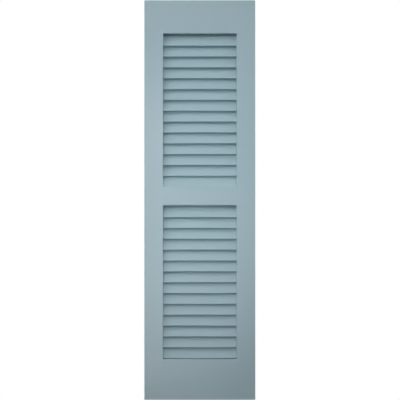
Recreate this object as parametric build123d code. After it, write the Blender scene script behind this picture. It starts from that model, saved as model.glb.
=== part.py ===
# Louvered shutter: a flat panel frame with two openings, each filled with fixed sloping slats.
# The front faces -Y and the flat back lies on the plane Y = 0, where the wall would be.
# X runs to the right and Z up. The origin is the middle of the back face. Sizes are in millimetres.

import os
from math import cos, radians, sin, tan

from build123d import *

# frame members, as seen from the front
panel_width = 381.0
stile_width = 64.3
top_rail_height = 114.3
mid_rail_height = 62.0
bottom_rail_height = 139.7
frame_edge_radius = 0.8

# slats: each leans back from its lower front edge towards the wall
slats_per_opening = 14
slat_pitch = 37.3
slat_lap = 7.1
slat_slope = 25.0
slat_thickness = 6.35
slat_edge_radius = 0.6

# where the slats stand in the frame
front_setback = 4.4
back_setback = 4.05
first_slat_drop = 40.4
last_slat_reveal = 2.5

# joinery: slat ends sit in housings, and rail tenons in blind mortises
housing_depth = 9.5
housing_play = 0.15
tenon_length = 31.8
tenon_thickness = 11.0
tenon_shoulder = 12.7
mortise_play = 0.2
mortise_end_play = 0.8

# sizes that follow
slope = radians(slat_slope)
slat_rise = slat_pitch + slat_lap
slat_width = slat_rise / cos(slope)
slat_run = slat_rise * tan(slope)
panel_thickness = front_setback + slat_run + slat_thickness * cos(slope) + back_setback
opening_height = first_slat_drop + (slats_per_opening - 1) * slat_pitch + last_slat_reveal
opening_half_width = panel_width / 2 - stile_width
panel_height = top_rail_height + mid_rail_height + bottom_rail_height + 2 * opening_height

# levels, from the top down
panel_top = panel_height / 2
upper_opening_top = panel_top - top_rail_height
upper_opening_bottom = upper_opening_top - opening_height
lower_opening_top = upper_opening_bottom - mid_rail_height
lower_opening_bottom = lower_opening_top - opening_height
panel_bottom = lower_opening_bottom - bottom_rail_height

front = -panel_thickness
mid_thickness = -panel_thickness / 2
tenon_reach = opening_half_width + tenon_length
slat_reach = opening_half_width + housing_depth - housing_play


def prism(outline, half_length):
    """The solid of a Y-Z outline that reaches as far to the left as to the right."""
    return extrude(Plane.YZ * outline, amount=half_length, both=True)


def tenon_block(bottom, top, play=0.0, end_play=0.0):
    """A rail's two tenons in one bar through the rail, or, with play, the room for them."""
    height = top - bottom - 2 * tenon_shoulder + 2 * play
    length = 2 * (tenon_reach + end_play)
    centre = Location((0, mid_thickness, (top + bottom) / 2))
    return centre * Box(length, tenon_thickness + 2 * play, height)


def slat_outline(edge_height, opening_top, opening_bottom, play=0.0):
    """A slat's section with eased corners, cut level where it meets a rail above or below."""
    corner_radius = slat_edge_radius + play
    section = Rectangle(slat_thickness, slat_width, align=(Align.MIN, Align.MIN))
    if play:
        section = Rectangle(
            slat_thickness + 2 * play, slat_width + 2 * play, align=(Align.MIN, Align.MIN)
        )
        section = Pos(-play, -play) * section
    section = fillet(section.vertices(), corner_radius)
    placed = Pos(front + front_setback, edge_height) * Rot(0, 0, -slat_slope) * section
    room_height = opening_top - opening_bottom + 2 * play
    room_centre = Pos(mid_thickness, (opening_top + opening_bottom) / 2)
    return placed & room_centre * Rectangle(2 * panel_thickness, room_height)


def slat_heights(opening_top, count):
    """Heights of the slats' lower front edges, from the top slat down."""
    return [opening_top - first_slat_drop - number * slat_pitch for number in range(count)]


def arris_waste(side, face, bottom, top):
    """What easing takes off a stile's inner corner beside an opening, at the front or back face."""
    inwards = 1 if face < mid_thickness else -1
    corner = (side * (opening_half_width + frame_edge_radius / 2), face + inwards * frame_edge_radius / 2)
    centre = (side * (opening_half_width + frame_edge_radius), face + inwards * frame_edge_radius)
    outline = Pos(*corner) * Rectangle(frame_edge_radius, frame_edge_radius)
    outline -= Pos(*centre) * Circle(frame_edge_radius)
    return extrude(Plane.XY.offset(bottom) * outline, amount=top - bottom)


def stile(side, housings, mortises):
    """One upright. Side is -1 on the left and 1 on the right."""
    centre = Location((side * (opening_half_width + stile_width / 2), mid_thickness, 0))
    body = centre * Box(stile_width, panel_thickness, panel_height)
    inner_face = side * opening_half_width
    outer_edges = [edge for edge in body.edges() if abs(edge.center().X - inner_face) > frame_edge_radius]
    waste = [arris_waste(side, face, bottom, top) for face, bottom, top in eased_spans]
    return fillet(outer_edges, frame_edge_radius) - waste - housings - mortises


def rail(outline, bottom, top):
    """A cross rail of this outline, with its long edges eased and a tenon at each end."""
    eased = fillet(outline.vertices(), frame_edge_radius)
    return prism(eased, opening_half_width) + tenon_block(bottom, top)


def plain_rail(bottom, top):
    """A rail of plain rectangular section."""
    outline = Pos(mid_thickness, (top + bottom) / 2) * Rectangle(panel_thickness, top - bottom)
    return rail(outline, bottom, top)


def bevelled_rail(bottom, top):
    """The mid rail. Its top slopes up from the front face as one more slat would, then runs level."""
    outline = make_face(
        Polyline(
            (front, bottom),
            (0, bottom),
            (0, top + slat_rise),
            (front + slat_run, top + slat_rise),
            (front, top),
            close=True,
        )
    )
    return rail(outline, bottom, top)


upper_room = (upper_opening_top, upper_opening_bottom)
lower_room = (lower_opening_top, lower_opening_bottom)
banks = {
    # the mid rail's bevel takes the place of the upper bank's last slat
    "upper_slat": (upper_room, slat_heights(upper_opening_top, slats_per_opening - 1)),
    "lower_slat": (lower_room, slat_heights(lower_opening_top, slats_per_opening)),
}
rail_spans = [
    (upper_opening_top, panel_top),
    (lower_opening_top, upper_opening_bottom),
    (panel_bottom, lower_opening_bottom),
]
# at the back, the bevelled rail closes the foot of the upper opening
eased_spans = [
    (front, upper_opening_bottom, upper_opening_top),
    (front, lower_opening_bottom, lower_opening_top),
    (0, upper_opening_bottom + slat_rise, upper_opening_top),
    (0, lower_opening_bottom, lower_opening_top),
]

pieces = {}
housing_solids = []
for name, (room, heights) in banks.items():
    for number, height in enumerate(heights, start=1):
        pieces[f"{name}_{number:02d}"] = prism(slat_outline(height, *room), slat_reach)
        housing_outline = slat_outline(height, *room, play=housing_play)
        housing_solids.append(prism(housing_outline, opening_half_width + housing_depth))

mortise_solids = [tenon_block(*span, mortise_play, mortise_end_play) for span in rail_spans]
pieces["stile_left"] = stile(-1, housing_solids, mortise_solids)
pieces["stile_right"] = stile(1, housing_solids, mortise_solids)
pieces["top_rail"] = plain_rail(*rail_spans[0])
pieces["mid_rail"] = bevelled_rail(*rail_spans[1])
pieces["bottom_rail"] = plain_rail(*rail_spans[2])

os.makedirs("parts", exist_ok=True)
for name, piece in pieces.items():
    export_step(piece, f"parts/{name}.step")
print(f"panel {panel_width:.1f} x {panel_thickness:.1f} x {panel_height:.1f} mm, {len(pieces)} pieces")
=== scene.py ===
"""Paint, soft studio light and camera for the louvered shutter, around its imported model."""

import math

import bmesh
import bpy
from bpy.props import FloatProperty, FloatVectorProperty, PointerProperty
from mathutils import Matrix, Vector


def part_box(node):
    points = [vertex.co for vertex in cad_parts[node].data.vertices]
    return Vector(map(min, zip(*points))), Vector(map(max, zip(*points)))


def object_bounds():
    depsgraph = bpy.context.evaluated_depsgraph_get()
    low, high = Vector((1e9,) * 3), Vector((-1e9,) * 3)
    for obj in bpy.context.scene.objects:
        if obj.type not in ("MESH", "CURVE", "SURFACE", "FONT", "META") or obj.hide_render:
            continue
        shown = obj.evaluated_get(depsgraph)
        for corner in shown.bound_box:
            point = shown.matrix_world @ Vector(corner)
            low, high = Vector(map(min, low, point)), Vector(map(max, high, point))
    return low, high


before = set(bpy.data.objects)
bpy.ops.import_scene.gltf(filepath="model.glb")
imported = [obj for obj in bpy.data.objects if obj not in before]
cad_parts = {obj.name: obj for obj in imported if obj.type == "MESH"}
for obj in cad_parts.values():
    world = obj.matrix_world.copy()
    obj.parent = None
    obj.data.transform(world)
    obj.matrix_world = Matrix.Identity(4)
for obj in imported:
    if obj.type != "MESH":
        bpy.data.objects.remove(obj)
cad_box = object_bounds()

bl_info = {
    "name": "Louvered Shutter Finish",
    "version": (1, 0, 0),
    "blender": (4, 5, 0),
    "location": "3D View > Sidebar > Shutter",
    "description": "Paints a louvered shutter and sets it in soft studio light",
    "category": "Object",
}

MM = 0.001

# sizes read from the model
panel_low, panel_high = cad_box
panel_height = panel_high.z - panel_low.z
opening_half_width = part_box("stile_right")[0].x
# the shutter fills nearly the whole height of a square picture, a hair left of its middle
HEIGHT_SHARE = 0.9989
CAMERA_OFFSET = 0.6 * MM
SENSOR_WIDTH = 36.0

# acrylic paint film
PAINT_IOR = 1.5
# how much fine detail the spray's ripples have, and how strong it is
RIPPLE_DETAIL = 2.0
RIPPLE_FINENESS = 0.45
# the coat's broad patches, and how much they change its dullness and tone
PATCH_WIDTH = 120 * MM
PATCH_DETAIL = 1.0
ROUGHNESS_SPREAD = 0.03
TONE_SPREAD = 0.006
# paint fills the joint and leaves only a slightly darker line
JOINT_SHADE = 0.9

# kinds of softbox: distance and side in metres, and beam in degrees
FAR_BOX = {"distance": 6.0, "side": 1.2, "beam": 180}
NEAR_BOX = {"distance": 2.2, "side": 1.0, "beam": 180}
FLOOD_BOX = {"distance": 3.0, "side": 0.7, "beam": 60}
NARROW_BOX = {"distance": 3.0, "side": 0.7, "beam": 20}
# the lamps are aimed a little left of the shutter's middle, where it is brightest
AIM_OFFSET = -0.04

# what keeps the floor white to the eye, less in its middle, where the shadow falls
FLOOR_GLOW_MIDDLE = 0.3
FLOOR_GLOW_EDGE = 0.8
# the darker grey that the floor lights the shutter with
FLOOR_BOUNCE = "#808080"
FLOOR_SIDES = 128


def linear(hex_colour):
    """The linear values of an sRGB hex colour."""
    parts = [int(hex_colour[start:start + 2], 16) / 255 for start in (1, 3, 5)]
    return tuple(
        part / 12.92 if part <= 0.04045 else ((part + 0.055) / 1.055) ** 2.4 for part in parts
    )


def add_node(tree, kind, inputs=None, **settings):
    """Adds a node. Inputs hold a value for a socket, or another node's output to link it to."""
    node = tree.nodes.new(kind)
    for name, value in settings.items():
        setattr(node, name, value)
    for socket, value in (inputs or {}).items():
        if isinstance(value, bpy.types.NodeSocket):
            tree.links.new(value, node.inputs[socket])
        else:
            node.inputs[socket].default_value = value
    return node


def empty_tree(owner):
    """Turns nodes on for a material or world and clears them."""
    owner.use_nodes = True
    owner.node_tree.nodes.clear()
    return owner.node_tree


class ShutterPaint(bpy.types.PropertyGroup):
    """The paint on the frame and the slats"""

    colour: FloatVectorProperty(
        name="Paint", description="Colour of the satin paint on every piece",
        subtype="COLOR", size=3, min=0, max=1, default=linear("#94ADB6"),
    )
    roughness: FloatProperty(
        name="Roughness", description="How dull the paint is, from mirror to chalk",
        subtype="FACTOR", min=0, max=1, default=0.31,
    )
    ripple_width: FloatProperty(
        name="Ripple width", description="Width of one ripple that the spray leaves",
        unit="LENGTH", min=0.2 * MM, default=2.6 * MM,
    )
    ripple_depth: FloatProperty(
        name="Ripple depth", description="Height of the spray's ripples",
        unit="LENGTH", min=0, default=0.012 * MM,
    )
    joint_width: FloatProperty(
        name="Joint width", description="Width of the paint line where a rail meets a stile",
        unit="LENGTH", min=0, default=0.5 * MM,
    )


class ShutterStage(bpy.types.PropertyGroup):
    """The floor, the light and the camera"""

    camera_distance: FloatProperty(
        name="Camera distance", description="From the camera to the shutter's front face",
        unit="LENGTH", min=1, default=2.6,
    )
    light_level: FloatProperty(
        name="Light level", description="Brightness of all the lamps together",
        subtype="FACTOR", min=0, soft_max=2, default=1,
    )
    floor_colour: FloatVectorProperty(
        name="Floor", description="Colour of the floor",
        subtype="COLOR", size=3, min=0, max=1, default=linear("#F2F2F0"),
    )
    floor_level: FloatProperty(
        name="Floor level", description="Height of the floor, measured from the shutter's middle",
        unit="LENGTH", max=0, default=-1.2,
    )
    floor_radius: FloatProperty(
        name="Floor radius", description="Half the width of the round floor",
        unit="LENGTH", min=0.5, default=1.8,
    )


def seen_directly(tree):
    """1 for what is seen straight, in gloss or through glass, and 0 for what only lights."""
    path = add_node(tree, "ShaderNodeLightPath").outputs
    seen = path["Is Camera Ray"]
    for name in ("Is Glossy Ray", "Is Transmission Ray"):
        either = add_node(tree, "ShaderNodeMath", {0: seen, 1: path[name]}, operation="MAXIMUM")
        seen = either.outputs[0]
    return seen


def satin_paint(name, paint, joint_lines=False):
    """Satin acrylic paint, sprayed on cellular PVC board.

    It gives the eye one even colour with soft, wide highlights. The spray's ripples break them up
    slightly, and the coat is a little duller and paler in broad patches.
    """
    material = bpy.data.materials.new(name)
    tree = empty_tree(material)
    place = add_node(tree, "ShaderNodeTexCoord").outputs["Object"]
    # real ripples are about 1 mm wide, and these are drawn coarser so that they show
    ripples = add_node(
        tree, "ShaderNodeTexNoise",
        {
            "Vector": place, "Scale": 1 / paint.ripple_width,
            "Detail": RIPPLE_DETAIL, "Roughness": RIPPLE_FINENESS,
        },
    )
    patches = add_node(
        tree, "ShaderNodeTexNoise",
        {"Vector": place, "Scale": 1 / PATCH_WIDTH, "Detail": PATCH_DETAIL},
    )
    dullness = add_node(
        tree, "ShaderNodeMapRange",
        {
            "Value": patches.outputs["Fac"],
            "To Min": paint.roughness - ROUGHNESS_SPREAD,
            "To Max": paint.roughness + ROUGHNESS_SPREAD,
        },
    )
    tone = add_node(
        tree, "ShaderNodeMapRange",
        {"Value": patches.outputs["Fac"], "To Min": 1 - TONE_SPREAD, "To Max": 1 + TONE_SPREAD},
    ).outputs[0]
    height = ripples.outputs["Fac"]
    if joint_lines:
        across = add_node(tree, "ShaderNodeSeparateXYZ", {0: place}).outputs["X"]
        across = add_node(tree, "ShaderNodeMath", {0: across}, operation="ABSOLUTE").outputs[0]
        # 0 on the joint and 1 a joint's width away from it
        clear = add_node(
            tree, "ShaderNodeMapRange",
            {
                "Value": across, "From Min": opening_half_width,
                "From Max": opening_half_width - paint.joint_width,
            },
        ).outputs[0]
        shade = add_node(
            tree, "ShaderNodeMapRange", {"Value": clear, "To Min": JOINT_SHADE, "To Max": 1.0}
        ).outputs[0]
        shaded = add_node(tree, "ShaderNodeMath", {0: tone, 1: shade}, operation="MULTIPLY")
        smoothed = add_node(tree, "ShaderNodeMath", {0: height, 1: clear}, operation="MULTIPLY")
        tone, height = shaded.outputs[0], smoothed.outputs[0]
    colour = add_node(
        tree, "ShaderNodeVectorMath", {0: paint.colour, "Scale": tone}, operation="SCALE"
    )
    bump = add_node(
        tree, "ShaderNodeBump", {"Height": height, "Distance": paint.ripple_depth, "Strength": 1.0}
    )
    surface = add_node(
        tree, "ShaderNodeBsdfPrincipled",
        {
            "Base Color": colour.outputs[0], "Roughness": dullness.outputs[0],
            "Normal": bump.outputs[0], "IOR": PAINT_IOR,
        },
    )
    add_node(tree, "ShaderNodeOutputMaterial", {"Surface": surface.outputs[0]})
    return material


def paint_pieces(names, material):
    """Gives the model's pieces this material."""
    for name in names:
        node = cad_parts.get(name)
        if node is None:
            raise RuntimeError(f"the model has no piece named {name}")
        for slot in node.material_slots:
            slot.material = material


def pieces_named(start):
    """The model's pieces whose names start so."""
    names = sorted(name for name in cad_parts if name.startswith(start))
    if not names:
        raise RuntimeError(f"the model has no piece whose name starts with {start}")
    return names


class SHUTTER_OT_paint_stiles(bpy.types.Operator):
    """Paint the two uprights"""

    bl_idname = "shutter.paint_stiles"
    bl_label = "Paint Stiles"

    def execute(self, context):
        material = satin_paint("satin_acrylic_on_stiles", context.scene.shutter_paint)
        paint_pieces(["stile_left", "stile_right"], material)
        return {"FINISHED"}


class SHUTTER_OT_paint_rails(bpy.types.Operator):
    """Paint the three cross rails, with a faint line where they meet the stiles"""

    bl_idname = "shutter.paint_rails"
    bl_label = "Paint Rails"

    def execute(self, context):
        paint = context.scene.shutter_paint
        material = satin_paint("satin_acrylic_on_rails", paint, joint_lines=True)
        paint_pieces(["top_rail", "mid_rail", "bottom_rail"], material)
        return {"FINISHED"}


class SHUTTER_OT_paint_upper_slats(bpy.types.Operator):
    """Paint the fixed slats of the upper opening"""

    bl_idname = "shutter.paint_upper_slats"
    bl_label = "Paint Upper Slats"

    def execute(self, context):
        material = satin_paint("satin_acrylic_on_upper_slats", context.scene.shutter_paint)
        paint_pieces(pieces_named("upper_slat"), material)
        return {"FINISHED"}


class SHUTTER_OT_paint_lower_slats(bpy.types.Operator):
    """Paint the fixed slats of the lower opening"""

    bl_idname = "shutter.paint_lower_slats"
    bl_label = "Paint Lower Slats"

    def execute(self, context):
        material = satin_paint("satin_acrylic_on_lower_slats", context.scene.shutter_paint)
        paint_pieces(pieces_named("lower_slat"), material)
        return {"FINISHED"}


def add_object(name, data, location=(0, 0, 0), look_at=None):
    """Links an object, turned towards a point if one is given."""
    made = bpy.data.objects.new(name, data)
    made.location = location
    if look_at is not None:
        forward = Vector(look_at) - Vector(location)
        made.rotation_euler = forward.to_track_quat("-Z", "Y").to_euler()
    bpy.context.scene.collection.objects.link(made)
    return made


def softbox(name, kind, azimuth, elevation, watts, aim_height=0):
    """A square softbox. Azimuth 0 stands before the shutter and 90 to its right."""
    turn, rise = math.radians(azimuth), math.radians(elevation)
    level = math.cos(rise)
    away = Vector((math.sin(turn) * level, -math.cos(turn) * level, math.sin(rise)))
    aim = Vector((AIM_OFFSET, 0, aim_height))
    lamp = bpy.data.lights.new(name, "AREA")
    lamp.shape = "SQUARE"
    lamp.size = kind["side"]
    lamp.spread = math.radians(kind["beam"])
    lamp.energy = watts * bpy.context.scene.shutter_stage.light_level
    return add_object(name, lamp, aim + away * kind["distance"], aim)


def pale_floor(stage):
    """Matt white painted floor.

    It is plain white to the eye, with the shutter's shadow on it, and throws little light back up,
    so that the undersides of the slats stay dark.
    """
    material = bpy.data.materials.new("matt_floor_paint")
    # the glow is only seen and lights nothing, so it isn't sampled as a lamp
    material.cycles.emission_sampling = "NONE"
    tree = empty_tree(material)
    lit = add_node(tree, "ShaderNodeBsdfDiffuse", {"Color": (*stage.floor_colour, 1)})
    place = add_node(tree, "ShaderNodeTexCoord").outputs["Object"]
    from_middle = add_node(tree, "ShaderNodeVectorMath", {0: place}, operation="LENGTH")
    strength = add_node(
        tree, "ShaderNodeMapRange",
        {
            "Value": from_middle.outputs["Value"], "From Max": stage.floor_radius,
            "To Min": FLOOR_GLOW_MIDDLE, "To Max": FLOOR_GLOW_EDGE,
        },
    )
    glow = add_node(tree, "ShaderNodeEmission", {"Strength": strength.outputs[0]})
    shown = add_node(tree, "ShaderNodeAddShader", {0: lit.outputs[0], 1: glow.outputs[0]})
    dark = add_node(tree, "ShaderNodeBsdfDiffuse", {"Color": (*linear(FLOOR_BOUNCE), 1)})
    mixed = add_node(
        tree, "ShaderNodeMixShader",
        {0: seen_directly(tree), 1: dark.outputs[0], 2: shown.outputs[0]},
    )
    add_node(tree, "ShaderNodeOutputMaterial", {"Surface": mixed.outputs[0]})
    return material


def lay_floor(stage):
    """A round floor below the shutter."""
    disc = bmesh.new()
    bmesh.ops.create_circle(disc, cap_ends=True, segments=FLOOR_SIDES, radius=stage.floor_radius)
    mesh = bpy.data.meshes.new("floor")
    disc.to_mesh(mesh)
    disc.free()
    mesh.materials.append(pale_floor(stage))
    add_object("floor", mesh, (0, 0, stage.floor_level))


def surround_with_white(scene):
    """Surroundings that are white to the eye and in gloss, and light nothing themselves."""
    scene.world = bpy.data.worlds.new("white_surroundings")
    tree = empty_tree(scene.world)
    unlit = add_node(tree, "ShaderNodeBackground", {"Strength": 0.0})
    white = add_node(tree, "ShaderNodeBackground", {"Color": (1, 1, 1, 1), "Strength": 1.0})
    mixed = add_node(
        tree, "ShaderNodeMixShader",
        {0: seen_directly(tree), 1: unlit.outputs[0], 2: white.outputs[0]},
    )
    add_node(tree, "ShaderNodeOutputWorld", {"Surface": mixed.outputs[0]})


def light_shutter():
    """Softboxes before the shutter, most of them to its left, and two behind it."""
    softbox("front_low", FAR_BOX, -8, -10, 27)
    softbox("left_far", FAR_BOX, -45, 10, 39)
    softbox("left_side", FLOOD_BOX, -65, 15, 1.6, aim_height=0.3)
    softbox("left_front", FLOOD_BOX, -35, 15, 1.3, aim_height=0.3)
    softbox("left_high", FLOOD_BOX, -65, 35, 2.3, aim_height=-0.1)
    softbox("right_front", FLOOD_BOX, 25, 25, 1.7)
    softbox("right_high", NEAR_BOX, 65, 40, 12.5)
    softbox("by_camera", FLOOD_BOX, 5, -5, 0.3, aim_height=-0.1)
    softbox("middle_from_below", NARROW_BOX, -8, -20, 0.2, aim_height=-0.15)
    softbox("middle_from_above", NARROW_BOX, -8, 10, 0.24)
    softbox("top_from_above", NARROW_BOX, -8, 25, 0.23, aim_height=0.55)
    softbox("foot_from_above", NARROW_BOX, -8, 45, 0.07, aim_height=-0.55)
    softbox("back_left", NEAR_BOX, 230, 30, 28.5)
    softbox("back_right", NEAR_BOX, 130, 30, 34.5)


def place_camera(scene, stage):
    """The camera looks straight at the middle of the shutter's front."""
    camera = bpy.data.cameras.new("camera")
    camera.sensor_width = SENSOR_WIDTH
    picture_height = panel_height / HEIGHT_SHARE
    camera.lens = SENSOR_WIDTH * stage.camera_distance / picture_height
    standpoint = Vector((CAMERA_OFFSET, panel_low.y - stage.camera_distance, 0))
    scene.camera = add_object("camera", camera, standpoint, standpoint + Vector((0, 1, 0)))


class SHUTTER_OT_set_stage(bpy.types.Operator):
    """Set up the floor, the white surroundings, the lamps and the camera"""

    bl_idname = "shutter.set_stage"
    bl_label = "Set Stage"

    def execute(self, context):
        scene = context.scene
        lay_floor(scene.shutter_stage)
        surround_with_white(scene)
        light_shutter()
        place_camera(scene, scene.shutter_stage)
        scene.view_settings.view_transform = "Standard"
        return {"FINISHED"}


class SHUTTER_PT_finish(bpy.types.Panel):
    """Sizes, colours and steps of the shutter's finish"""

    bl_label = "Louvered Shutter"
    bl_space_type = "VIEW_3D"
    bl_region_type = "UI"
    bl_category = "Shutter"

    def draw(self, context):
        for group in (context.scene.shutter_paint, context.scene.shutter_stage):
            box = self.layout.box()
            for name in group.__annotations__:
                box.prop(group, name)
        for operator in OPERATORS:
            self.layout.operator(operator.bl_idname)


GROUPS = (ShutterPaint, ShutterStage)
OPERATORS = (
    SHUTTER_OT_paint_stiles,
    SHUTTER_OT_paint_rails,
    SHUTTER_OT_paint_upper_slats,
    SHUTTER_OT_paint_lower_slats,
    SHUTTER_OT_set_stage,
)
CLASSES = (*GROUPS, *OPERATORS, SHUTTER_PT_finish)


def register():
    for made in CLASSES:
        bpy.utils.register_class(made)
    bpy.types.Scene.shutter_paint = PointerProperty(type=ShutterPaint)
    bpy.types.Scene.shutter_stage = PointerProperty(type=ShutterStage)


def unregister():
    del bpy.types.Scene.shutter_stage
    del bpy.types.Scene.shutter_paint
    for made in reversed(CLASSES):
        bpy.utils.unregister_class(made)


def main():
    register()
    bpy.ops.shutter.paint_stiles()
    bpy.ops.shutter.paint_rails()
    bpy.ops.shutter.paint_upper_slats()
    bpy.ops.shutter.paint_lower_slats()
    bpy.ops.shutter.set_stage()


if __name__ == "__main__":
    main()
